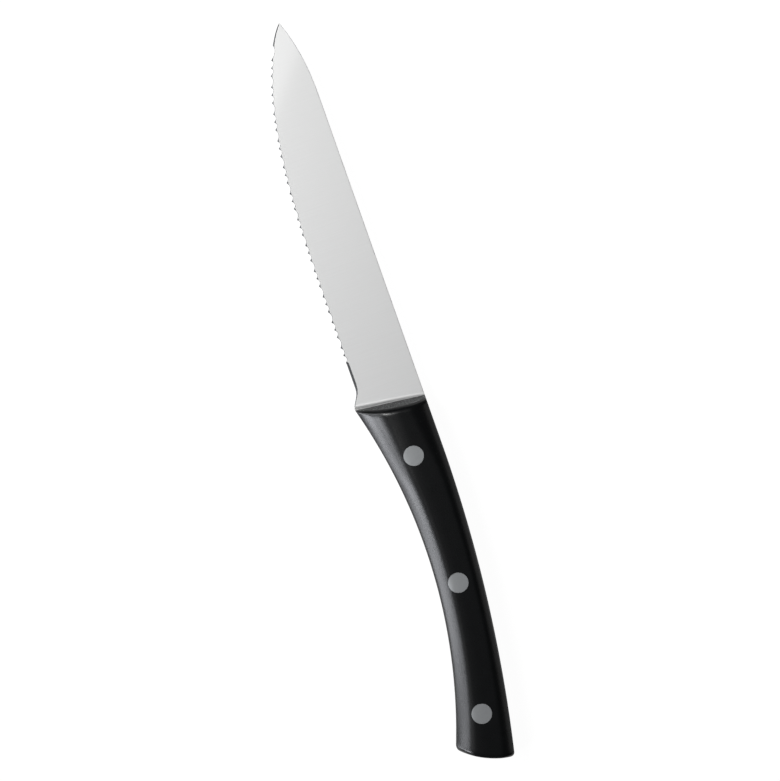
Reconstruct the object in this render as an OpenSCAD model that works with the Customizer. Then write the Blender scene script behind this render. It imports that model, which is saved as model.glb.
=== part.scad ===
// Steak knife: one serrated blade with a full tang, two handle scales and three two-piece rivets.
// It lies on its lower scale. Y points along the straight spine to the tip, X across to the spine
// and Z up. The origin is on the flat face that it lies on, between the first two rivets.

/* [Blade] */
// Length of the blade, from the handle to the tip
blade_len = 120.95; // [105:0.05:140]
// Width of the blade, from the spine to the tooth tips
blade_w = 19.4; // [17.5:0.1:21]
// Thickness of the steel, left full along the tang
stock_t = 2.2; // [2:0.1:3]
// Thickness of the ground spine at the handle
spine_t = 1.8; // [1.5:0.05:1.9]
// Thickness of the ground spine carried on to the tip
spine_tip_t = 1.5; // [1.3:0.05:1.7]
// Thickness along the edge at the heel, before the flutes are ground
edge_t = 0.45; // [0.4:0.05:0.7]
// Radius of the grind where it runs out at the handle
plunge_r = 1.8; // [1.5:0.1:5]
// Plain steel left between the handle and the grind
plunge_lead = 0.1; // [0.1:0.05:1]
// Depth of the plain heel behind the teeth, from the spine
choil_w = 19.23; // [16:0.01:19.4]
// Length over which the heel flares out to meet the handle
flare_len = 6.6; // [5:0.1:12]

/* [Tip] */
// Drop of the tip below the straight spine
tip_drop = 4; // [2:0.1:7]
// Length over which the spine drops to the tip
drop_len = 25.4; // [18:0.1:40]
// Length over which the edge sweeps up to the tip
sweep_len = 104; // [85:0.5:115]
// Distance from the tip to the middle of the thinned tip
tip_grind_back = 15.8; // [12:0.1:20]
// Thickness of the edge at the middle of the thinned tip
tip_edge_t = 0.4; // [0.3:0.05:0.7]

/* [Teeth] */
// Length of each of the two small scallops in a group
small_pitch = 2.375; // [2:0.005:3]
// Length of the large scallop in a group
large_pitch = 3.465; // [2.8:0.005:4.2]
// Depth of a scallop between its two teeth
scallop_depth = 0.75; // [0.4:0.05:0.9]
// Angle between a flute and the face that it is ground into
flute_angle = 20; // [15:1:30]
// Distance of the first tooth from the handle
teeth_start = 17; // [15:0.05:25]
// Length of plain edge left behind the tip
teeth_stop = 5.8; // [4:0.1:12]

/* [Handle] */
// Length of the handle along the spine
handle_len = 112.15; // [100:0.05:125]
// Thickness of each scale
scale_t = 5.4; // [4.8:0.1:7]
// Lead of the handle's belly corner over its spine corner at the blade
front_rise = 2.5; // [1:0.1:4]
// Lean of the front face of each scale, from upright
front_lean = 24; // [10:1:35]
// Distance from the spine line to the belly at the waist
waist_w = 15.36; // [13.5:0.02:18]
// Distance of the waist behind the front
waist_back = 42.85; // [36:0.05:50]
// Radius of the hollow belly
belly_r = 170; // [150:1:260]
// Length of the straight part of the handle's spine
back_straight = 15.75; // [10:0.05:30]
// Radius of the curved part of the handle's spine
back_r = 437; // [350:1:700]
// Lead of the belly corner over the spine corner at the butt
butt_rake = 7.7; // [4:0.1:12]
// Bulge of the butt beyond the straight line between its corners
butt_bulge = 1.45; // [0.5:0.05:2.5]
// Radius of the two corners and the rim of the butt
corner_r = 1.3; // [0.8:0.1:2]

/* [Rivets] */
// Diameter of a rivet head
head_d = 6.2; // [5.8:0.05:7]
// Thickness of a rivet head before it is ground flush
head_t = 2.6; // [2.4:0.1:3]
// Outside diameter of the hollow shank
sleeve_d = 4.2; // [3.8:0.1:4.8]
// Diameter of the solid shank
pin_d = 2.6; // [2:0.1:3]
// Distance of the first rivet behind the handle's front
rivet_front_back = 16.3; // [13:0.02:20]
// Distance of the last rivet ahead of the handle's spine corner
rivet_rear_lead = 15.5; // [13:0.1:20]
// Clearance around each shank and head
fit_gap = 0.04; // [0.02:0.01:0.1]
// Clearance beyond the end of each shank
end_gap = 0.3; // [0.1:0.05:0.6]

/* [Hidden] */

steel_colour = "#cdcecf";
plastic_colour = "#1d1f21";
rivet_colour = "#8b8d90";
round_fn = 64;

// Overrun of a cut beyond what it cuts, and the size of a cut that has to clear the whole knife
cut_over = 1;
reach = blade_len + handle_len;

// Height of the scale's crown, as a share of its thickness: each line has the share of the way from
// belly to spine, the height at the front and the height along the grip. Where it would pass 1 it is
// ground off flat, which makes the face that the knife lies on.
crown_shares = [[0, 0.15, 0.36], [0.02, 0.22, 0.44], [0.05, 0.305, 0.523], [0.1, 0.43, 0.635],
                [0.15, 0.54, 0.731], [0.2, 0.64, 0.816], [0.25, 0.74, 0.892], [0.3, 0.83, 0.949],
                [0.35, 0.9, 0.978], [0.4, 0.94, 0.99], [0.47, 0.975, 1.003], [0.55, 1.003, 1.015],
                [0.66, 1.015, 1.02], [0.74, 0.99, 1.015], [0.8, 0.945, 1], [0.85, 0.89, 0.965],
                [0.9, 0.82, 0.905], [0.94, 0.745, 0.84], [0.97, 0.67, 0.775], [0.99, 0.605, 0.715],
                [1, 0.56, 0.68]];
// Share of the handle over which the section at the front passes into that of the grip
crown_settle_share = 0.25;
// Place of each rivet, as a share of the way from belly to spine
rivet_across_shares = [0.466, 0.469, 0.496];
// Place of the middle rivet, as a share of the way from the first to the last
rivet_middle_share = 0.506;
// Place of the middle of the flat, as a share of the way from belly to spine
flat_across_share = 0.66;
// Stations of the loft: their number along the handle, the share before the front, and the corner's steps
body_steps = 22;
front_over_share = 0.04;
corner_steps = 4;
// Shape of the curve that sweeps the edge up and the one that drops the spine
sweep_start_power = 3.9;
sweep_end_power = 0.815;
drop_power = 2.3;
flare_power = 1.25;
// Slope of the thinned tip, as rise over run from the edge inwards
tip_wedge = 0.06;
// Points along the sweep of the edge, the drop of the spine and the flare of the heel
sweep_steps = 40;
drop_steps = 12;
flare_steps = 8;
// The teeth end this far inside the blank's edge, so that grinding leaves none of it
tooth_inset = 0.03;
// Step for the slope of the edge, and the half length of a flute cutter
slope_step = 0.05;
flute_reach = 4;

seat_h = scale_t - head_t;
front_w = -belly_x(front_rise);
front_yaw = atan2(-front_rise, front_w);
wedge = (spine_t - edge_t) / (2 * blade_w);
taper = (spine_t - spine_tip_t) / (2 * blade_len);
sweep_start = blade_len - sweep_len;
group_pitches = [small_pitch, small_pitch, large_pitch];

// Edges of the handle. Places behind the front have a negative y.
function belly_x(y) = -(waist_w + belly_r - sqrt(pow(belly_r, 2) - pow(y + waist_back, 2)));
function back_x(y) = y > -back_straight ? 0
    : -(back_r - sqrt(pow(back_r, 2) - pow(y + back_straight, 2)));

// A station runs across the handle from belly to spine: s is 0 at the front and 1 at the butt.
function belly_end(s) = let (y = front_rise - s * (front_rise + handle_len - butt_rake)) [belly_x(y), y];
function back_end(s) = let (y = -s * handle_len) [back_x(y), y];

// Place on station s, at share u from belly to spine, with both ends drawn in by inset.
// The stations bow out towards the butt.
function station_place(s, u, inset) =
    let (from = belly_end(s), across = back_end(s) - from, width = norm(across),
         share = (inset + u * (width - 2 * inset)) / width,
         bow = 4 * butt_bulge * pow(s, 2) * share * (1 - share))
    from + share * across + bow * [across[1], -across[0]] / width;

// Stations as [s, inset, drop]: the last ones turn round the corners and the rim of the butt.
corner_share = corner_r / handle_len;
function corner_station(step) = let (turn = 90 * step / corner_steps)
    [1 - corner_share * (1 - sin(turn)), corner_r * (1 - cos(turn)), corner_r * (1 - cos(turn)) / 2];
function stations(first) = concat(
    [for (i = [0 : body_steps]) [first + (1 - corner_share - first) * i / body_steps, 0, 0]],
    [for (k = [1 : corner_steps]) corner_station(k)]);

// Height of the crown, as a share, at share s along the handle for one line of the table
function crown_share(s, col) = let (part = max(0, min(1, s / crown_settle_share)))
    col[1] + (col[2] - col[1]) * part * part * (3 - 2 * part);

// Places of the three rivets
rivet_ys = let (front = -rivet_front_back, rear = rivet_rear_lead - handle_len)
    [front, front + rivet_middle_share * (rear - front), rear];
function rivet_place(k) = let (y = rivet_ys[k], share = rivet_across_shares[k])
    [belly_x(y) + share * (back_x(y) - belly_x(y)), y];

// The origin is in the middle of the flat, midway between the first two rivets
frame_y = (rivet_ys[0] + rivet_ys[1]) / 2;
frame_x = belly_x(frame_y) + flat_across_share * (back_x(frame_y) - belly_x(frame_y));

// Spine, edge and heel of the blade, as x for a place y ahead of the handle
function spine_x(y) = -tip_drop * pow(max(0, 1 - (blade_len - y) / drop_len), drop_power);
function edge_x(y) = let (share = max(0, min(1, (y - sweep_start) / sweep_len)))
    -(tip_drop + (blade_w - tip_drop) * pow(1 - pow(share, sweep_start_power), sweep_end_power));
function edge_slope(y) = (edge_x(y + slope_step) - edge_x(y - slope_step)) / (2 * slope_step);
function flare_x(share) = -(choil_w + (front_w - choil_w) * (1 - cos(180 * pow(share, flare_power))) / 2);

// Half thickness that the main grind leaves at a place, and the second grind that thins the tip
tip_grind_y = blade_len - tip_grind_back;
function face_z(x, y) = spine_t / 2 + wedge * x - taper * y;
function tip_face_z(x, y) = let (slope = edge_slope(tip_grind_y))
    tip_edge_t / 2
    + tip_wedge * (x - edge_x(tip_grind_y) - slope * (y - tip_grind_y)) / norm([slope, 1]);

// Tooth places along the edge, from y on, with the scallop lengths taken in turn. The last scallop
// takes up what is left over.
function teeth_from(y, k) = let (pitch = group_pitches[k % len(group_pitches)],
                                 slope = edge_slope(y + pitch / 2),
                                 next = y + pitch / norm([slope, 1]),
                                 stop = blade_len - teeth_stop)
    next <= stop ? concat([y], teeth_from(next, k + 1)) : stop - y < pitch / 2 ? [stop] : [y, stop];
teeth = [for (y = teeth_from(teeth_start, 0)) [edge_x(y), y]];

module in_frame() {
    translate([-frame_x, -frame_y, scale_t + stock_t / 2]) children();
}

// The half space in front of the handle's front line, leaning back by lean with height
module ahead_of_front(lean) {
    rotate([0, 0, front_yaw]) rotate([lean, 0, 0])
        translate([-reach, 0, -reach]) cube([2 * reach, reach, 2 * reach]);
}

// The crowned form of one scale before it is cut and bored, on its tang face
module crown_loft() {
    rows = stations(-front_over_share);
    n = len(rows);
    m = len(crown_shares);
    flat = [for (row = rows) for (col = crown_shares) station_place(row[0], col[0], row[1])];
    height = [for (row = rows) for (col = crown_shares) scale_t * crown_share(row[0], col) - row[2]];
    points = concat([for (i = [0 : n * m - 1]) [flat[i][0], flat[i][1], height[i]]],
                    [for (place = flat) [place[0], place[1], 0]]);
    low = n * m;
    top_faces = [for (i = [0 : n - 2]) for (j = [0 : m - 2]) for (half = [0, 1])
        let (a = i * m + j, b = a + m) half == 0 ? [a, a + 1, b + 1] : [a, b + 1, b]];
    tang_faces = [for (face = top_faces) [low + face[2], low + face[1], low + face[0]]];
    side_faces = [for (i = [0 : n - 2]) for (side = [0, 1])
        let (a = i * m, b = a + m, c = a + m - 1, d = c + m)
        side == 0 ? [a, b, low + b, low + a] : [d, c, low + c, low + d]];
    end_faces = [for (j = [0 : m - 2]) for (end = [0, 1])
        let (a = j, b = (n - 1) * m + j)
        end == 0 ? [a + 1, a, low + a, low + a + 1] : [b, b + 1, low + b + 1, low + b]];
    polyhedron(points, concat(top_faces, tang_faces, side_faces, end_faces));
}

// The same form with its crown ground flat
module crown_form() {
    difference() {
        crown_loft();
        translate([-reach, -reach, scale_t]) cube([2 * reach, 2 * reach, reach]);
    }
}

// One scale on its tang face, with counterbored holes for the rivets
module scale_body() {
    difference() {
        crown_form();
        ahead_of_front(front_lean);
        for (k = [0 : 2]) translate(rivet_place(k)) {
            translate([0, 0, -cut_over])
                cylinder(h = scale_t + cut_over, d = sleeve_d + 2 * fit_gap, $fn = round_fn);
            translate([0, 0, seat_h])
                cylinder(h = scale_t, d = head_d + 2 * fit_gap, $fn = round_fn);
        }
    }
}

// A rivet head in its counterbore, ground flush with the crown
module flush_head(k) {
    intersection() {
        crown_form();
        translate(concat(rivet_place(k), seat_h)) cylinder(h = scale_t, d = head_d, $fn = round_fn);
    }
}

// The solid shank and its head, from above
module rivet_pin(k) {
    half = stock_t / 2;
    translate([0, 0, half]) flush_head(k);
    translate(concat(rivet_place(k), -half - seat_h + end_gap))
        cylinder(h = 2 * (half + seat_h) - end_gap + head_t / 4, d = pin_d, $fn = round_fn);
}

// The hollow shank and its head, from below
module rivet_sleeve(k) {
    half = stock_t / 2;
    difference() {
        union() {
            mirror([0, 0, 1]) translate([0, 0, half]) flush_head(k);
            translate(concat(rivet_place(k), -half - seat_h - head_t / 4))
                cylinder(h = 2 * (half + seat_h) + head_t / 4 - end_gap, d = sleeve_d, $fn = round_fn);
        }
        translate(concat(rivet_place(k), -half - seat_h))
            cylinder(h = 2 * (half + seat_h) + cut_over, d = pin_d + 2 * fit_gap, $fn = round_fn);
    }
}

// Outline of the blade and its tang, from the spine at the handle round by the tip and the butt.
// The tang has the outline of the scales.
module blank_outline() {
    drop_start = blade_len - drop_len;
    spine = [for (i = [0 : drop_steps]) let (y = drop_start + drop_len * i / drop_steps) [spine_x(y), y]];
    sweep_from = max(sweep_start, teeth_start + small_pitch);
    sweep = [for (i = [sweep_steps - 1 : -1 : 0])
        let (y = blade_len - (blade_len - sweep_from) * pow(1 - i / sweep_steps, 2)) [edge_x(y), y]];
    heel = [teeth[0], [-choil_w, teeth_start - (blade_w - choil_w) - tooth_inset]];
    flare = [for (i = [0 : flare_steps]) let (share = i / flare_steps)
        [flare_x(share), front_rise + flare_len * (1 - share)]];
    rows = stations(0);
    columns = [for (col = crown_shares) col[0]];
    belly = [for (i = [1 : len(rows) - 1]) station_place(rows[i][0], 0, rows[i][1])];
    butt = let (last = rows[len(rows) - 1])
        [for (j = [1 : len(columns) - 1]) station_place(last[0], columns[j], last[1])];
    back = [for (i = [len(rows) - 2 : -1 : 0]) station_place(rows[i][0], 1, rows[i][1])];
    polygon(concat(spine, sweep, heel, flare, belly, butt, back));
}

// What grinding takes off one face of the blade: all above the tapered face, which runs out at the
// handle in a round. Its run-out keeps the same lead on the handle from the spine to the heel.
module face_grind() {
    run = [for (x = [0, -choil_w]) let (cut = stock_t / 2 - face_z(x, 0)) sqrt(2 * plunge_r * cut - pow(cut, 2))];
    at_spine = [0, plunge_lead + run[0]];
    at_heel = [-choil_w, front_rise * choil_w / front_w + plunge_lead + run[1]];
    yaw = atan2(at_spine[1] - at_heel[1], at_spine[0] - at_heel[0]);
    slope_x = wedge * cos(yaw) - taper * sin(yaw);
    slope_y = -wedge * sin(yaw) - taper * cos(yaw);
    translate([at_spine[0], at_spine[1], face_z(at_spine[0], at_spine[1])])
        rotate([0, 0, yaw])
        rotate([atan(slope_y * cos(atan(slope_x))), -atan(slope_x), 0])
        translate([-2 * blade_w, 0, 0])
        rotate([90, 0, 90])
        linear_extrude(3 * blade_w) {
            square([2 * blade_len, stock_t]);
            translate([0, plunge_r]) circle(plunge_r, $fn = round_fn);
        }
}

// What the second grind takes off one face to thin the tip
module tip_grind() {
    translate([edge_x(tip_grind_y), tip_grind_y, tip_edge_t / 2])
        rotate([0, 0, -atan(edge_slope(tip_grind_y))])
        rotate([0, -atan(tip_wedge), 0])
        translate([-blade_w, -blade_w, 0]) cube([3 * blade_w, 3 * blade_w, stock_t]);
}

// The path of the round wheel that grinds the flute between tooth k and the next, from the lower face.
// Its rim just reaches both teeth on the upper face, and lies scallop_depth further in between them.
module flute(k) {
    from = teeth[k];
    to = teeth[k + 1];
    middle = (from + to) / 2;
    sag = scallop_depth * sin(flute_angle);
    rim_r = (pow(norm(to - from) / 2, 2) + pow(sag, 2)) / (2 * sag);
    top = min(face_z(middle[0], middle[1]), tip_face_z(middle[0], middle[1]));
    translate(concat(middle, top))
        rotate([0, 0, -atan2(to[0] - from[0], to[1] - from[1])])
        translate([scallop_depth + tooth_inset, 0, 0])
        rotate([0, 90 + flute_angle, 0])
        translate([rim_r, 0, -flute_reach])
        cylinder(h = 2 * flute_reach, r = rim_r, $fn = 4 * round_fn);
}

// The children with flutes 0 to k ground into them one after another
module fluted(k) {
    if (k < 0) children();
    else difference() {
        fluted(k - 1) children();
        flute(k);
    }
}

module blade() {
    color(steel_colour) in_frame() fluted(len(teeth) - 2) difference() {
        translate([0, 0, -stock_t / 2]) linear_extrude(stock_t) blank_outline();
        for (side = [0, 1]) mirror([0, 0, side]) {
            face_grind();
            tip_grind();
        }
        for (k = [0 : 2]) translate(concat(rivet_place(k), -stock_t))
            cylinder(h = 2 * stock_t, d = sleeve_d + 2 * fit_gap, $fn = round_fn);
    }
}

module scale_upper() {
    color(plastic_colour) in_frame() translate([0, 0, stock_t / 2]) scale_body();
}

module scale_lower() {
    color(plastic_colour) in_frame() mirror([0, 0, 1]) translate([0, 0, stock_t / 2]) scale_body();
}

module rivet_pin_front() { color(rivet_colour) in_frame() rivet_pin(0); }
module rivet_pin_middle() { color(rivet_colour) in_frame() rivet_pin(1); }
module rivet_pin_rear() { color(rivet_colour) in_frame() rivet_pin(2); }
module rivet_sleeve_front() { color(rivet_colour) in_frame() rivet_sleeve(0); }
module rivet_sleeve_middle() { color(rivet_colour) in_frame() rivet_sleeve(1); }
module rivet_sleeve_rear() { color(rivet_colour) in_frame() rivet_sleeve(2); }

blade();
scale_upper();
scale_lower();
rivet_pin_front();
rivet_pin_middle();
rivet_pin_rear();
rivet_sleeve_front();
rivet_sleeve_middle();
rivet_sleeve_rear();
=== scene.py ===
import bmesh
import bpy
import numpy as np
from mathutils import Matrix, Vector


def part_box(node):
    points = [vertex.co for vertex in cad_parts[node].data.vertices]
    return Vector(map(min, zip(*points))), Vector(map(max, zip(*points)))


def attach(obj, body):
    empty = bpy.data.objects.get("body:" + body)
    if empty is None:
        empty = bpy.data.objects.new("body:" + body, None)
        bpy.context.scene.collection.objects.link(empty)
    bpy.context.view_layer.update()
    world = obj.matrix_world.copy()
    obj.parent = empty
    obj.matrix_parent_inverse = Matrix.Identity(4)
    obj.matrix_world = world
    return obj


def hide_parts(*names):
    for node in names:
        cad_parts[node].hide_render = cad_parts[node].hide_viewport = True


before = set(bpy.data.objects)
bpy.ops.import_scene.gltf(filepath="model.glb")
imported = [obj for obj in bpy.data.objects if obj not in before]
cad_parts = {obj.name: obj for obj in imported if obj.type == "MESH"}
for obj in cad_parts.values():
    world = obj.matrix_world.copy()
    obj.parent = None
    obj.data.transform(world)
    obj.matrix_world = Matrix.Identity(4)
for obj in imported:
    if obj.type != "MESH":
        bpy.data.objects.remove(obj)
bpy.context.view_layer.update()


# The blade and its tang: one blank of 2.2 mm stainless steel sheet. Both faces are ground from the
# handle to the tip, the edge is fluted from the lower face with a round wheel and honed from above.
# All sizes are in millimetres, with y forward along the spine, x across to it and z up.
blade_len, blade_w, stock_t = 120.95, 19.4, 2.2
spine_t, spine_tip_t, edge_t, spine_round = 1.8, 1.5, 0.45, 0.1
plunge_r, plunge_lead = 1.8, 0.1
choil_w, flare_len, flare_power = 19.23, 6.6, 1.25
tip_drop, drop_len, drop_power = 4.0, 25.4, 2.3
sweep_len, sweep_power, sweep_root = 104.0, 3.9, 0.815
tip_grind_back, tip_edge_t, tip_wedge, grind_blend = 15.8, 0.4, 0.06, 0.03
pitches = (2.375, 2.375, 3.465)
scallop_depth, flute_slope = 0.75, np.tan(np.radians(20))
teeth_start, teeth_stop, heel_y = 17.0, 5.8, 16.8
hone_w, hone_least, hone_slope = 0.55, 0.09, np.tan(np.radians(20))
handle_len, front_rise = 112.15, 2.5
waist_w, waist_back, belly_r = 15.36, 42.85, 170.0
back_straight, back_r = 15.75, 437.0
butt_rake, butt_bulge, corner_r = 7.7, 1.42, 1.3
wedge = (spine_t - edge_t) / (2 * blade_w)
taper = (spine_t - spine_tip_t) / (2 * blade_len)
eighths = np.radians(np.arange(11.25, 91, 11.25))


def belly_x(y):
    """Belly line of the handle: an arc that stands waist_w off the spine line at the waist."""
    return -(waist_w + belly_r - np.sqrt(belly_r**2 - (y + waist_back) ** 2))


def back_x(y):
    """Spine line of the handle: straight behind the blade, then an arc."""
    bent = np.minimum(0, y + back_straight)
    return -(back_r - np.sqrt(back_r**2 - bent**2))


def station(s, inset):
    """Both ends of a line across the handle at share s of its length, drawn in by inset, and its bow,
    which grows as s squared."""
    y_belly = front_rise - s * (front_rise + handle_len - butt_rake)
    belly = np.stack([belly_x(y_belly), y_belly], -1)
    back = np.stack([back_x(-s * handle_len), -s * handle_len], -1)
    across = (back - belly) / np.linalg.norm(back - belly, axis=-1, keepdims=True)
    return belly + across * inset[:, None], back - across * inset[:, None], butt_bulge * s**2


def spine_x(y):
    """Spine of the blade: straight, then dropping to the tip as a power of the way along the drop."""
    return -tip_drop * np.clip(1 - (blade_len - y) / drop_len, 0, 1) ** drop_power


def edge_x(y):
    """Line through the tooth tips: straight, then sweeping up to the tip as a flattened superellipse."""
    share = np.clip((y - blade_len + sweep_len) / sweep_len, 0, 1)
    return -(tip_drop + (blade_w - tip_drop) * (1 - share**sweep_power) ** sweep_root)


def edge_slope(y):
    """Slope of the line through the tooth tips, taken across a tenth of a millimetre."""
    return (edge_x(y + 0.05) - edge_x(y - 0.05)) / 0.1


front_w = -belly_x(front_rise)
teeth = [teeth_start]
while teeth[-1] <= blade_len - teeth_stop:
    pitch = pitches[(len(teeth) - 1) % len(pitches)]
    teeth.append(teeth[-1] + pitch / np.hypot(1, edge_slope(teeth[-1] + pitch / 2)))
spare = blade_len - teeth_stop - teeth[-2]
teeth = np.array([*teeth[:-2 if spare < pitch / 2 else -1], blade_len - teeth_stop])


def scallop(y):
    """Depth of the scallops at places y: a parabola between each tooth and the next."""
    k = np.clip(np.searchsorted(teeth, y, side="right") - 1, 0, len(teeth) - 2)
    along = (y - teeth[k]) / (teeth[k + 1] - teeth[k])
    return scallop_depth * 4 * np.clip(along * (1 - along), 0, 1)


def outline_x(y):
    """Edge side of the blade: the flare at the handle, which falls off as half a cosine wave, the
    plain heel, the scallops and the plain tip."""
    share = np.clip((front_rise + flare_len - y) / flare_len, 0, 1)
    heel = -(choil_w + (front_w - choil_w) * (1 - np.cos(np.pi * share**flare_power)) / 2)
    toothed = np.interp(y, teeth, edge_x(teeth)) + scallop(y) * np.hypot(1, edge_slope(y))
    edge = np.where(y < teeth[-1], toothed, edge_x(y))
    step = heel + (edge_x(teeth[0]) - heel) * np.clip((y - heel_y) / (teeth[0] - heel_y), 0, 1)
    return np.where(y < teeth[0], step, edge)


def ground_z(x, y):
    """Half the ground blade's thickness: the lower of the main grind's plane and the tip grind's,
    joined by a soft minimum."""
    main = spine_t / 2 + wedge * x - taper * y
    at = blade_len - tip_grind_back
    slope = edge_slope(at)
    tip = tip_edge_t / 2 + tip_wedge * (x - edge_x(at) - slope * (y - at)) / np.hypot(slope, 1)
    return -grind_blend * np.logaddexp(-main / grind_blend, -tip / grind_blend)


def smooth_step(t):
    """Rises from 0 to 1 as 3t^2 - 2t^3."""
    t = np.clip(t, 0, 1)
    return t * t * (3 - 2 * t)


def blade_rings():
    """Rings of points round the blade, from the tip to the butt. Each row crosses from the edge to the
    spine; its ring runs along the upper face to the edge and back along the lower face. Rows stand
    square to the spine towards the tip and lean with the handle's front where they near it."""
    tip_rows, tooth_rows, tang_rows = 28, 12, 60
    lean_whole, lean_none = 7, 17
    tip = blade_len - (blade_len - teeth[-1]) * np.linspace(0, 1, tip_rows)[:-1] ** 2
    toothed = np.interp(np.arange(tooth_rows * (len(teeth) - 1), -1, -1) / tooth_rows,
                        np.arange(len(teeth)), teeth)
    heel = np.concatenate([[16.9, heel_y], np.arange(16.35, 7.6, -0.6), np.arange(7.6, 2.05, -0.4)])
    plunge = np.concatenate([np.arange(2.05, plunge_lead + 0.01, -0.1), [plunge_lead, 0.05]])
    ahead = np.concatenate([tip, toothed, heel, plunge])
    lean = 1 - smooth_step((ahead - lean_whole) / (lean_none - lean_whole))
    y_edge = ahead.copy()
    for _ in range(12):
        y_edge = ahead + lean * front_rise * -outline_x(y_edge) / front_w
    edge = np.stack([outline_x(y_edge), y_edge], -1)
    spine = np.stack([spine_x(ahead), ahead], -1)
    bow = np.zeros(len(ahead))

    # The tang's rows follow the handle's stations, and its last ones turn round the butt's corners
    corner = corner_r / handle_len
    s = np.concatenate([np.linspace(0, 1 - corner, tang_rows), 1 - corner * (1 - np.sin(eighths))])
    inset = np.concatenate([np.zeros(tang_rows), corner_r * (1 - np.cos(eighths))])
    tang_edge, tang_spine, tang_bow = station(s, inset)
    edge, spine = np.concatenate([edge, tang_edge]), np.concatenate([spine, tang_spine])
    bow = np.concatenate([bow, tang_bow])
    in_tang = np.arange(len(edge)) >= len(ahead)
    ahead, y_edge = np.concatenate([ahead, 0 * s]), np.concatenate([y_edge, 0 * s])

    across = spine - edge
    width = np.linalg.norm(across, axis=-1)
    safe_width = np.maximum(width, 1e-9)[:, None]
    unit = across / safe_width

    def place(d):
        """Point at distance d from the edge along each row, with the row's bow towards the butt."""
        share = d / safe_width
        side = np.stack([unit[:, 1], -unit[:, 0]], -1)[:, None]
        bowed = (4 * bow[:, None] * share * (1 - share))[..., None]
        return edge[:, None] + unit[:, None] * d[..., None] + side * bowed

    def top_z(d):
        """Half thickness there: the grind, run out at the handle in a round, and full along the tang."""
        at = place(d)
        low = ground_z(at[..., 0], at[..., 1])
        cut = np.clip(stock_t / 2 - low, 0, plunge_r)
        start = plunge_lead + np.sqrt(2 * plunge_r * cut - cut**2)
        back = np.clip(start - ahead[:, None], 0, plunge_r)
        risen = low + plunge_r - np.sqrt(plunge_r**2 - back**2)
        whole = in_tang[:, None] | (ahead[:, None] < plunge_lead + 0.001)
        return np.where(whole, stock_t / 2, np.minimum(risen, stock_t / 2))

    # The hone's width changes along the edge, and the flutes' slope meets it at a narrow flat. The
    # tang's rows keep the same columns, drawn in to a sliver
    sliver, edge_flat = 0.02, 0.02
    in_teeth = (y_edge >= teeth[0]) & (y_edge <= teeth[-1])
    hone = np.interp(y_edge, [2, 5.6, 10, 16.8, 17.5, 113.5, 117.5, 120.95],
                     [0.1, 0.25, 0.75, 0.7, hone_w, hone_w, 0.4, 0.3])
    bevel = np.where(in_teeth, np.maximum(hone - scallop(y_edge), hone_least), hone)
    bevel = np.where(in_tang, sliver, np.minimum(bevel, 0.3 * width))
    round_r = np.where(in_tang, sliver, np.minimum(spine_round, 0.2 * width))
    bevel_z = top_z(bevel[:, None])[:, 0]
    edge_z = bevel_z - np.minimum(bevel * hone_slope, 0.85 * bevel_z)
    fluted = y_edge >= teeth[0] - 0.01
    wall_z = np.where(fluted, edge_z - edge_flat, -0.9 * bevel_z)
    lower = np.where(fluted, (wall_z + bevel_z) / (flute_slope - wedge), 0.08)
    lower = np.where(in_tang, sliver, np.minimum(lower, 0.45 * width))

    shares = np.array([0, 0.01, 0.04, 0.1, 0.2, 0.3, 0.42, 0.54, 0.66, 0.78, 0.88, 0.95, 0.985, 1])
    upper_d = bevel[:, None] + (width - round_r - bevel)[:, None] * shares
    lower_d = lower[:, None] + (width - round_r - lower)[:, None] * shares
    round_d = (width - round_r)[:, None] + round_r[:, None] * np.sin(eighths)
    fall = round_r[:, None] * (1 - np.cos(eighths))
    edge_d = np.zeros((len(width), 1))
    d = np.concatenate([round_d[:, ::-1], upper_d[:, ::-1], edge_d, edge_d, lower_d, round_d], 1)
    upper_z, lower_z = top_z(upper_d), -top_z(lower_d)
    z = np.concatenate([(upper_z[:, -1:] - fall)[:, ::-1], upper_z[:, ::-1], edge_z[:, None],
                        wall_z[:, None], lower_z, lower_z[:, -1:] + fall], 1)
    rings = np.concatenate([place(d), z[..., None]], -1)
    rings[0] = [-tip_drop, blade_len, 0]
    # Rows beyond the plunge and ahead of the tang, whose edge faces carry the painted shade
    painted_shade_rows = (y_edge > 3.5) & ~in_tang
    return rings, painted_shade_rows


def grid_faces(rows, columns, closed):
    """Quads between the points of a grid, with the last column joined to the first where it is closed."""
    r, c = np.meshgrid(np.arange(rows - 1), np.arange(columns - (not closed)), indexing="ij")
    a, b = r * columns + c, r * columns + (c + 1) % columns
    return np.stack([a, b, b + columns, a + columns], -1).reshape(-1, 4)


blade_low, blade_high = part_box("blade")
to_row = np.array([blade_high.x * 1000, blade_high.y * 1000 - blade_len,
                   (blade_low.z + blade_high.z) * 500])


def add_piece(name, points, faces, kinds, materials, crease):
    """Makes a mesh of points in millimetres and its faces, each with the number of its material.
    Points that meet are merged, faces turned outwards, and edges sharper than crease stay crisp."""
    mesh = bpy.data.meshes.new(name)
    mesh.from_pydata((points.reshape(-1, 3) + to_row) / 1000, [], faces.tolist())
    mesh.polygons.foreach_set("material_index", np.asarray(kinds, np.int32))
    for material in materials:
        mesh.materials.append(material)
    work = bmesh.new()
    work.from_mesh(mesh)
    bmesh.ops.remove_doubles(work, verts=work.verts, dist=2e-7)
    bmesh.ops.recalc_face_normals(work, faces=work.faces)
    work.to_mesh(mesh)
    work.free()
    mesh.shade_smooth()
    mesh.set_sharp_from_angle(angle=np.radians(crease))
    piece = bpy.data.objects.new(name, mesh)
    bpy.context.scene.collection.objects.link(piece)
    return piece


def linear(code):
    """Linear colour of an sRGB hex code: each part c becomes ((c + 0.055) / 1.055)^2.4, or c / 12.92."""
    parts = np.array([int(code[i:i + 2], 16) / 255 for i in (1, 3, 5)])
    return (*np.where(parts > 0.04045, ((parts + 0.055) / 1.055) ** 2.4, parts / 12.92), 1.0)


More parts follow.
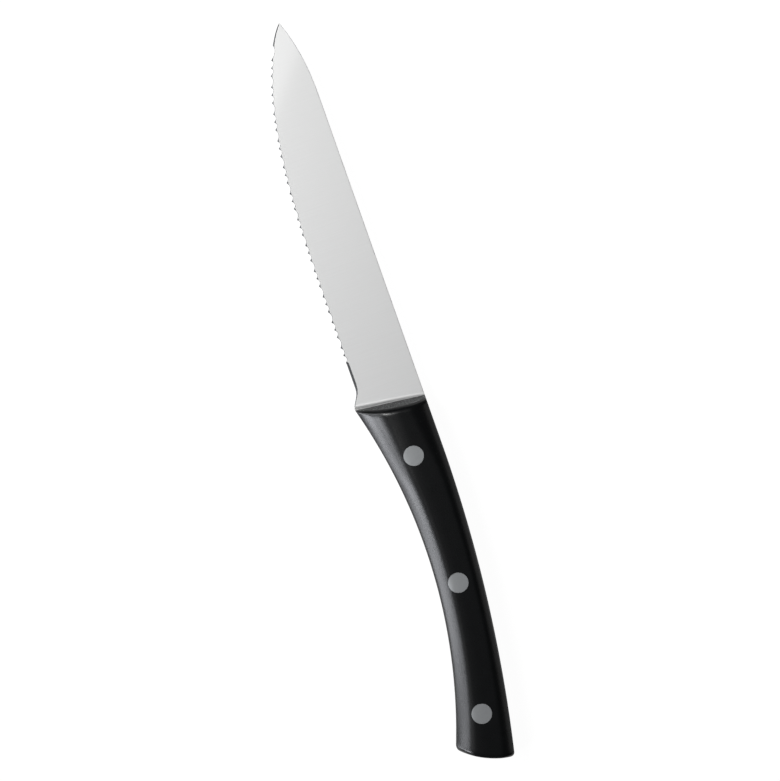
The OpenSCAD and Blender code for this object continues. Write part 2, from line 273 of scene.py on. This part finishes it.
def set_inputs(tree, node, inputs):
    """Sets each named input of a node to a value, or links it from an output."""
    for name, value in inputs.items():
        if isinstance(value, bpy.types.NodeSocket):
            tree.links.new(value, node.inputs[name])
        else:
            node.inputs[name].default_value = value


def add_node(tree, kind, inputs, **settings):
    """Adds a node with its settings and its inputs."""
    node = tree.nodes.new(kind)
    for name, value in settings.items():
        setattr(node, name, value)
    set_inputs(tree, node, inputs)
    return node


def new_material(name):
    """A new material and its node tree."""
    material = bpy.data.materials.new(name)
    material.use_nodes = True
    return material, material.node_tree


def noise(tree, scales, detail):
    """Noise from 0 to 1 in Object coordinates, with so many features per metre along each axis."""
    place = add_node(tree, "ShaderNodeTexCoord", {}).outputs["Object"]
    place = add_node(tree, "ShaderNodeMapping", {"Vector": place, "Scale": scales}).outputs[0]
    return add_node(tree, "ShaderNodeTexNoise", {"Vector": place, "Scale": 1.0, "Detail": detail}).outputs[0]


def tone_between(tree, factor, low, high):
    """Colour that runs from one sRGB hex code to another as the factor rises from 0 to 1."""
    colours = {"Factor": factor, "A": linear(low), "B": linear(high)}
    return add_node(tree, "ShaderNodeMix", colours, data_type="RGBA").outputs["Result"]


def value_between(tree, factor, low, high):
    """Value that runs from low to high as the factor rises from 0 to 1."""
    span = {"Value": factor, "To Min": low, "To Max": high}
    return add_node(tree, "ShaderNodeMapRange", span).outputs[0]


def bump(tree, height, strength):
    """Bumps of up to a tenth of a millimetre, at a share of their strength."""
    lift = {"Height": height, "Strength": strength, "Distance": 0.0001}
    return add_node(tree, "ShaderNodeBump", lift).outputs[0]


# Satin-ground stainless steel: fine grinding marks across the blade give a soft, even sheen.
# Real marks are some 0.03 mm apart; they are drawn 0.25 mm apart, so that a trace of them shows.
satin_steel, tree = new_material("satin_ground_stainless_steel")
marks = noise(tree, (60, 4000, 300), 3.0)
set_inputs(tree, tree.nodes["Principled BSDF"], {
    "Base Color": tone_between(tree, marks, "#dadad9", "#e2e2e1"), "Metallic": 1.0,
    "Roughness": value_between(tree, marks, 0.54, 0.6), "Normal": bump(tree, marks, 0.04)})

# Blanked and honed steel edges, cut by a coarse stone. Their dark grey is painted shade: it stands in for
# the shadow along the steep edge and scallops. The stone's marks are drawn 0.2 mm apart, some five times as
# coarse as they are.
edge_steel_painted_shade, tree = new_material("honed_steel_painted_shade")
marks = noise(tree, (5000, 5000, 5000), 2.0)
set_inputs(tree, tree.nodes["Principled BSDF"], {
    "Base Color": tone_between(tree, marks, "#3a3b3c", "#4e4f50"), "Metallic": 1.0,
    "Roughness": value_between(tree, marks, 0.3, 0.5)})

rings, painted_shade_rows = blade_rings()
rows, columns = rings.shape[:2]
faces = grid_faces(rows, columns, True)
half = columns // 2
butt = np.arange(half - 1) + (rows - 1) * columns
far = (rows - 1) * columns + columns - 1 - np.arange(half - 1)
faces = np.concatenate([faces, np.stack([butt, butt + 1, far - 1, far], -1)])
# The hone, the edge wall and the flute's first strip take the darker steel, which is painted shade along the
# edge
column = np.tile(np.arange(columns), rows - 1)
on_edge = (column >= half - 2) & (column <= half)
kinds = np.concatenate([on_edge & np.repeat(painted_shade_rows[1:], columns), np.zeros(half - 1, bool)])
blade = add_piece("blade_ground", rings, faces, kinds, [satin_steel, edge_steel_painted_shade], 12)
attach(blade, "root")
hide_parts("blade")


# The two handle scales: moulded in satin black acetal, crowned from belly to spine, with a leaning
# front face. They are ground flush with the tang and bored for three rivets, with sunk seats.
scale_t, front_lean, front_round, round_share = 5.4, np.radians(24), 2.3, 0.7
head_d, head_t, sleeve_d, pin_d, fit_gap, end_gap = 6.2, 2.6, 4.2, 2.6, 0.04, 0.3
seat_h = scale_t - head_t
rivet_front_back, rivet_rear_lead, rivet_middle_share = 16.3, 15.5, 0.506
rivet_run = rivet_rear_lead - handle_len + rivet_front_back
rivet_y = -rivet_front_back + np.array([0, rivet_middle_share, 1]) * rivet_run
rivet_share = np.array([0.466, 0.469, 0.496])
rivet_at = np.stack([belly_x(rivet_y) + rivet_share * (back_x(rivet_y) - belly_x(rivet_y)), rivet_y], -1)
crown_blend, crown_ease = 0.25, 0.04
crown_u = np.array([0, 0.02, 0.05, 0.1, 0.15, 0.2, 0.25, 0.3, 0.35, 0.4, 0.47, 0.55, 0.66, 0.74, 0.8,
                    0.85, 0.9, 0.94, 0.97, 0.99, 1])
crown_front = np.array([0.15, 0.22, 0.305, 0.43, 0.54, 0.64, 0.74, 0.83, 0.9, 0.94, 0.975, 1.003, 1.015,
                        0.99, 0.945, 0.89, 0.82, 0.745, 0.67, 0.605, 0.56])
crown_grip = np.array([0.36, 0.44, 0.523, 0.635, 0.731, 0.816, 0.892, 0.949, 0.978, 0.99, 1.003, 1.015,
                       1.02, 1.015, 1, 0.965, 0.905, 0.84, 0.775, 0.715, 0.68])


def crown_z(s, u):
    """Height of the crown above the tang at share s along the handle and u from belly to spine: cubics
    through the heights at the front and along the grip, the one passing smoothly into the other over
    the first quarter of the handle, eased into the ground flat at scale_t."""
    k = np.clip(np.searchsorted(crown_u, u, side="right") - 1, 0, len(crown_u) - 2)
    run = crown_u[k + 1] - crown_u[k]
    t = np.clip((u - crown_u[k]) / run, 0, 1)
    height = []
    for line in (crown_front, crown_grip):
        slope = np.gradient(line, crown_u)
        height.append(line[k] * (1 + 2 * t) * (1 - t) ** 2 + line[k + 1] * t**2 * (3 - 2 * t)
                      + run * t * (1 - t) * (slope[k] * (1 - t) - slope[k + 1] * t))
    whole = scale_t * (height[0] + (height[1] - height[0]) * smooth_step(s / crown_blend))
    return -crown_ease * np.logaddexp(-whole / crown_ease, -scale_t / crown_ease)


def scale_place(s, u, inset):
    """Place at share s along the handle and share u of its line across there, as drawn in by inset. It
    is bowed towards the butt by its share of the whole line."""
    belly, back, bow = station(s, inset)
    across = back - belly
    width = np.linalg.norm(across, axis=-1, keepdims=True)
    share = ((inset[:, None] + u * width) / (width + 2 * inset[:, None]))[..., None]
    side = np.stack([across[:, 1], -across[:, 0]], -1)[:, None] / width[:, None]
    bowed = side * 4 * bow[:, None, None] * share * (1 - share)
    return belly[:, None] + u[..., None] * across[:, None] + bowed


def scale_surface():
    """Crowned surface of a scale on a grid of rows from front to butt and columns from belly to spine:
    the leaning front, its round into the crown, the crown and the round of the butt. Places behind the
    front line become shares of the handle's length by its run there, which grows from belly to spine."""
    run_belly, run_more = 102.9, 8.5
    face_rows, round_rows, body_rows, body_start = 9, 10, 110, 0.045
    u = np.unique(np.concatenate([np.linspace(0, 1, 57), [0.005, 0.01, 0.97, 0.98, 0.99, 0.995]]))
    run = run_belly + run_more * u
    top = crown_z(0.02, u)
    round_r = np.minimum(front_round, round_share * top)
    lean_z = top - round_r + round_r * np.sin(front_lean)
    climb = np.linspace(0, 1, face_rows)[:, None] * lean_z
    turn = np.linspace(front_lean, np.pi / 2, round_rows + 1)[1:, None]
    centre = (top - round_r) * np.tan(front_lean) + round_r / np.cos(front_lean)
    back = np.concatenate([climb * np.tan(front_lean), centre - round_r * np.cos(turn)])
    z = np.concatenate([climb, top - round_r + round_r * np.sin(turn)])
    corner = corner_r / handle_len
    body = np.linspace(body_start, 1 - corner, body_rows)
    first = back[-1] / run
    ease = np.linspace(0, 1, 6)[1:-1, None]
    s = np.concatenate([back / run, first + ease * (body[0] - first), np.tile(body[:, None], len(u)),
                        np.tile(1 - corner * (1 - np.sin(eighths))[:, None], len(u))])
    inset = np.concatenate([np.zeros(len(s) - len(eighths)), corner_r * (1 - np.cos(eighths))])
    z = np.concatenate([z, crown_z(s[len(z):], u) - inset[len(z):, None] / 2])
    flat = np.stack([scale_place(s[:, j], np.full((len(s), 1), u[j]), inset)[:, 0]
                     for j in range(len(u))], 1)
    return u, flat, z, face_rows - 1


def share_at(flat):
    """Shares s along and u across the handle at places in the plane, by Newton's rule on the stations."""
    s = -flat[:, 1] / handle_len
    u = np.full(len(flat), 0.5)
    zero = np.zeros(len(flat))
    small = 1e-4
    for _ in range(8):
        at = scale_place(s, u[:, None], zero)[:, 0]
        by_s = (scale_place(s + small, u[:, None], zero)[:, 0] - at) / small
        by_u = (scale_place(s, u[:, None] + small, zero)[:, 0] - at) / small
        miss = flat - at
        det = by_s[:, 0] * by_u[:, 1] - by_s[:, 1] * by_u[:, 0]
        s = s + (miss[:, 0] * by_u[:, 1] - miss[:, 1] * by_u[:, 0]) / det
        u = u + (by_s[:, 0] * miss[:, 1] - by_s[:, 1] * miss[:, 0]) / det
    return s, u


def scale_mesh():
    """Points and faces of a scale on its tang face: the crowned surface, its flat underside, the butt
    and, round each rivet, a window of the grid that narrows in rings to the round seat and bore. Each
    face's kind is 1 on the leaning front."""
    window_margin, narrowing = 1.1, 6
    u, flat, z, face_end = scale_surface()
    rows, columns = z.shape
    upper = np.concatenate([flat, z[..., None]], -1)
    under = np.concatenate([flat, 0 * z[..., None]], -1)
    ring = np.concatenate([upper, under[:, ::-1]], 1)
    faces = grid_faces(rows, 2 * columns, True)
    j = np.arange(columns - 1)
    last = (rows - 1) * 2 * columns
    butt = np.stack([j, j + 1, 2 * columns - 2 - j, 2 * columns - 1 - j], -1) + last
    body = len(faces)
    faces = np.concatenate([faces, butt])
    r, c = faces[:, 0] // (2 * columns), faces[:, 0] % (2 * columns)
    front = (r < face_end) & (c < columns - 1)
    c = np.where(c < columns, c, 2 * columns - 2 - c)
    keep = np.ones(len(faces), bool)
    patches, count = [ring.reshape(-1, 3)], rows * 2 * columns
    for at in rivet_at:
        gap = head_d / 2 + window_margin
        share = share_at(at[None])[1][0]
        middle_c = int(np.argmin(abs(u - share)))
        middle_r = int(np.argmin(np.linalg.norm(flat[:, middle_c] - at, axis=-1)))
        near_c = np.nonzero(np.linalg.norm(flat[middle_r] - at, axis=-1) < gap)[0]
        near_r = np.nonzero(np.linalg.norm(flat[:, middle_c] - at, axis=-1) < gap)[0]
        r0, r1, c0, c1 = near_r[0] - 1, near_r[-1] + 1, near_c[0] - 1, near_c[-1] + 1
        keep[:body] &= ~((r[:body] >= r0) & (r[:body] < r1) & (c[:body] >= c0) & (c[:body] < c1))
        loop = np.concatenate([[(r0, k) for k in range(c0, c1)], [(k, c1) for k in range(r0, r1)],
                               [(r1, k) for k in range(c1, c0, -1)], [(k, c0) for k in range(r1, r0, -1)]])
        rim = flat[loop[:, 0], loop[:, 1]]
        toward = (rim - at) / np.linalg.norm(rim - at, axis=-1, keepdims=True)
        head, bore = head_d / 2 + fit_gap, sleeve_d / 2 + fit_gap
        blend = np.linspace(0, 1, narrowing)[:, None, None]
        wide = rim + blend * (at + toward * head - rim)
        wide_z = crown_z(*share_at(wide.reshape(-1, 2))).reshape(wide.shape[:2])
        wide_z[0] = z[loop[:, 0], loop[:, 1]]
        seat = np.stack([at + toward * head, at + toward * bore])
        low = (rim + blend * (at + toward * bore - rim))[::-1]
        heights = np.concatenate([wide_z, np.full((2, len(rim)), seat_h), np.zeros(low.shape[:2])])
        rings = np.concatenate([np.concatenate([wide, seat, low]), heights[..., None]], -1)
        patches.append(rings.reshape(-1, 3))
        faces = np.concatenate([faces, grid_faces(len(rings), len(rim), True) + count])
        keep = np.concatenate([keep, np.ones(len(faces) - len(keep), bool)])
        count += rings.shape[0] * rings.shape[1]
    kinds = np.concatenate([front, np.zeros(len(faces) - len(front), bool)])
    return np.concatenate(patches), faces[keep], kinds[keep]


# Moulded acetal, black: a satin skin with a faint ripple left by the mould, and fine rubbing marks
# from use. The ripple is 3 mm long, and the marks are drawn 0.3 mm apart.
acetal, tree = new_material("moulded_black_acetal")
ripple = noise(tree, (350, 350, 350), 2.0)
rubbing = noise(tree, (3500, 3500, 3500), 3.0)
set_inputs(tree, tree.nodes["Principled BSDF"], {
    "Base Color": tone_between(tree, ripple, "#0b0c0d", "#111213"), "IOR": 1.48,
    "Roughness": value_between(tree, rubbing, 0.26, 0.3),
    "Normal": bump(tree, ripple, 0.03)})

# The leaning front face is left as the cutter leaves it: matt, with pale specks where the acetal tore. Its
# mid grey, far paler than the black acetal, is painted reflection of the light and blade that this face
# mirrors.
# The specks are 0.4 mm wide, about twice their real size.
cut_acetal_painted_reflection, tree = new_material("cut_black_acetal_painted_reflection")
specks = noise(tree, (2600, 2600, 2600), 2.0)
spread = add_node(tree, "ShaderNodeMapRange", {"Value": specks, "From Min": 0.4, "From Max": 0.68})
set_inputs(tree, tree.nodes["Principled BSDF"], {
    "Base Color": tone_between(tree, spread.outputs[0], "#333434", "#808181"), "IOR": 1.48,
    "Roughness": 0.6, "Normal": bump(tree, specks, 0.5)})

points, faces, kinds = scale_mesh()
for name, side in (("scale_upper", 1), ("scale_lower", -1)):
    placed = (points + [0, 0, stock_t / 2]) * [1, 1, side]
    scale = add_piece(name + "_moulded", placed, faces, kinds, [acetal, cut_acetal_painted_reflection], 25)
    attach(scale, "root")
    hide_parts(name)


# The three rivets: each is a solid pin pressed into a hollow sleeve, both turned from stainless
# steel. Their heads fill the seats and are ground flush with the scales.
end_chamfer, rim_drop, flatter = 0.15, 0.08, 0.6


def lathe(at, profile, steps=64):
    """Rings about the upright axis at a place: each pair of the profile is a radius and a height."""
    angle = np.linspace(0, 2 * np.pi, steps, endpoint=False)
    radius, height = np.array(profile, float).T
    x = at[0] + radius[:, None] * np.cos(angle)
    y = at[1] + radius[:, None] * np.sin(angle)
    return np.stack([x, y, np.repeat(height[:, None], steps, 1)], -1)


def flush_head(at):
    """Rings over the ground top of a head: out from its middle, a little flatter than the crown, as
    hard steel is left when both are ground, then down over a narrow slope at its rim."""
    radius = head_d / 2
    top = lathe(at, [(radius * share, 0) for share in (0, 0.25, 0.5, 0.7, 0.85, 0.94, 0.98)])
    top[..., 2] = crown_z(*share_at(top[..., :2].reshape(-1, 2))).reshape(top.shape[:2])
    top[..., 2] += flatter * (top[0, 0, 2] - top[..., 2])
    rim = lathe(at, [(radius, 0)])
    rim[..., 2] = top[-1, :, 2] - rim_drop
    return np.concatenate([top, rim])


# Turned stainless steel, ground flush: an even grey disc with faint marks of the grinding across it.
# The marks are drawn 0.2 mm apart, some six times as coarse as they are.
turned_steel, tree = new_material("turned_stainless_steel")
marks = noise(tree, (600, 4500, 600), 2.0)
set_inputs(tree, tree.nodes["Principled BSDF"], {
    "Base Color": tone_between(tree, marks, "#9ea0a1", "#aaacad"), "Metallic": 1.0,
    "Roughness": value_between(tree, marks, 0.54, 0.6)})

half = stock_t / 2
seat, end = half + seat_h, end_gap - (half + seat_h)
head_r, shank_r, sleeve_r, bore_r = head_d / 2, pin_d / 2, sleeve_d / 2, pin_d / 2 + fit_gap
pin_shank = [(head_r, seat), (shank_r, seat), (shank_r, end + end_chamfer),
             (shank_r - end_chamfer, end), (0, end)]
sleeve_shank = [(head_r, seat), (sleeve_r, seat), (sleeve_r, end + end_chamfer),
                (sleeve_r - end_chamfer, end), (bore_r, end), (bore_r, seat), (0, seat)]
for at, where in zip(rivet_at, ("front", "middle", "rear")):
    head = flush_head(at) + [0, 0, half]
    for name, shank, side in (("rivet_pin_", pin_shank, 1), ("rivet_sleeve_", sleeve_shank, -1)):
        rings = np.concatenate([head, lathe(at, shank)])
        faces = grid_faces(len(rings), rings.shape[1], True)
        rivet = add_piece(name + where + "_turned", rings * [1, 1, side], faces, np.zeros(len(faces)),
                          [turned_steel], 30)
        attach(rivet, "root")
        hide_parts(name + where)


# The studio: a plain white floor, softboxes round a dark middle where the camera looks down, and
# the camera, straight above the knife, turned so that the blade points up and to the left.
reach = 6
corners = [(-reach, -reach, 0), (reach, -reach, 0), (reach, reach, 0), (-reach, reach, 0)]
floor_mesh = bpy.data.meshes.new("floor")
floor_mesh.from_pydata(corners, [], [(0, 1, 2, 3)])
floor = bpy.data.objects.new("floor", floor_mesh)
bpy.context.scene.collection.objects.link(floor)

# White paper, matt. The camera and mirrored views see it mostly as even white, under a faint shadow.
paper, tree = new_material("white_paper_floor")
tree.nodes.remove(tree.nodes["Principled BSDF"])
rays = add_node(tree, "ShaderNodeLightPath", {}).outputs
seen = rays["Is Camera Ray"]
for kind in ("Is Glossy Ray", "Is Transmission Ray"):
    seen = add_node(tree, "ShaderNodeMath", {0: seen, 1: rays[kind]}, operation="MAXIMUM").outputs[0]
share = add_node(tree, "ShaderNodeMath", {0: seen, 1: 0.9}, operation="MULTIPLY")
matt = add_node(tree, "ShaderNodeBsdfDiffuse", {"Color": linear("#f4f4f4")})
white = add_node(tree, "ShaderNodeEmission", {"Color": (1, 1, 1, 1), "Strength": 1.08})
both = add_node(tree, "ShaderNodeMixShader", {0: share.outputs[0], 1: matt.outputs[0], 2: white.outputs[0]})
set_inputs(tree, tree.nodes["Material Output"], {"Surface": both.outputs[0]})
floor_mesh.materials.append(paper)

scene = bpy.context.scene
scene.view_settings.view_transform = "Standard"
world = bpy.data.worlds.new("studio_air")
world.use_nodes = True
world.node_tree.nodes["Background"].inputs["Color"].default_value = (1, 1, 1, 1)
world.node_tree.nodes["Background"].inputs["Strength"].default_value = 0.01
scene.world = world

target = np.array([-3.92, 41.32, 6.5]) / 1000
up_image = np.array([0.3333, 0.9428])
right_image = np.array([0.9428, -0.3333])


def softbox(name, right, up, height, size, radiance, colour=(1, 1, 1)):
    """Adds a softbox that faces the knife from so many metres right, up the picture and above it."""
    lamp = bpy.data.lights.new(name, "AREA")
    lamp.shape = "RECTANGLE"
    lamp.size, lamp.size_y = size
    lamp.energy = radiance * np.pi * size[0] * size[1]
    lamp.color = colour
    box = bpy.data.objects.new(name, lamp)
    where = target + np.array([*(right * right_image + up * up_image), height])
    box.location = where
    box.rotation_euler = Vector(target - where).to_track_quat("-Z", "Y").to_euler()
    box.visible_camera = False
    bpy.context.scene.collection.objects.link(box)


cool = (0.93, 0.95, 1.0)
softbox("softbox_blade", -0.37, 0.155, 0.66, (0.26, 0.25), 15.4)
softbox("softbox_left_front", -1.203, -0.742, 0.75, (0.282, 0.369), 22.5, cool)
softbox("softbox_left_high", -1.314, -0.04, 0.852, (0.473, 0.415), 8.6, cool)
softbox("softbox_left_low", -1.481, -0.511, 0.325, (0.362, 0.741), 9.4, cool)
softbox("softbox_right", 1.264, 0.303, 0.45, (1.2, 0.8), 0.45)

camera_rise, picture_w, sensor_w = 1.5, 0.23695, 36
camera_data = bpy.data.cameras.new("camera")
camera_data.sensor_width = sensor_w
camera_data.lens = sensor_w * camera_rise / picture_w
camera_data.clip_end = 10
camera = bpy.data.objects.new("camera", camera_data)
camera.location = target + np.array([0, 0, camera_rise])
camera.rotation_euler = (0, 0, -np.arctan2(up_image[0], up_image[1]))
scene.collection.objects.link(camera)
scene.camera = camera
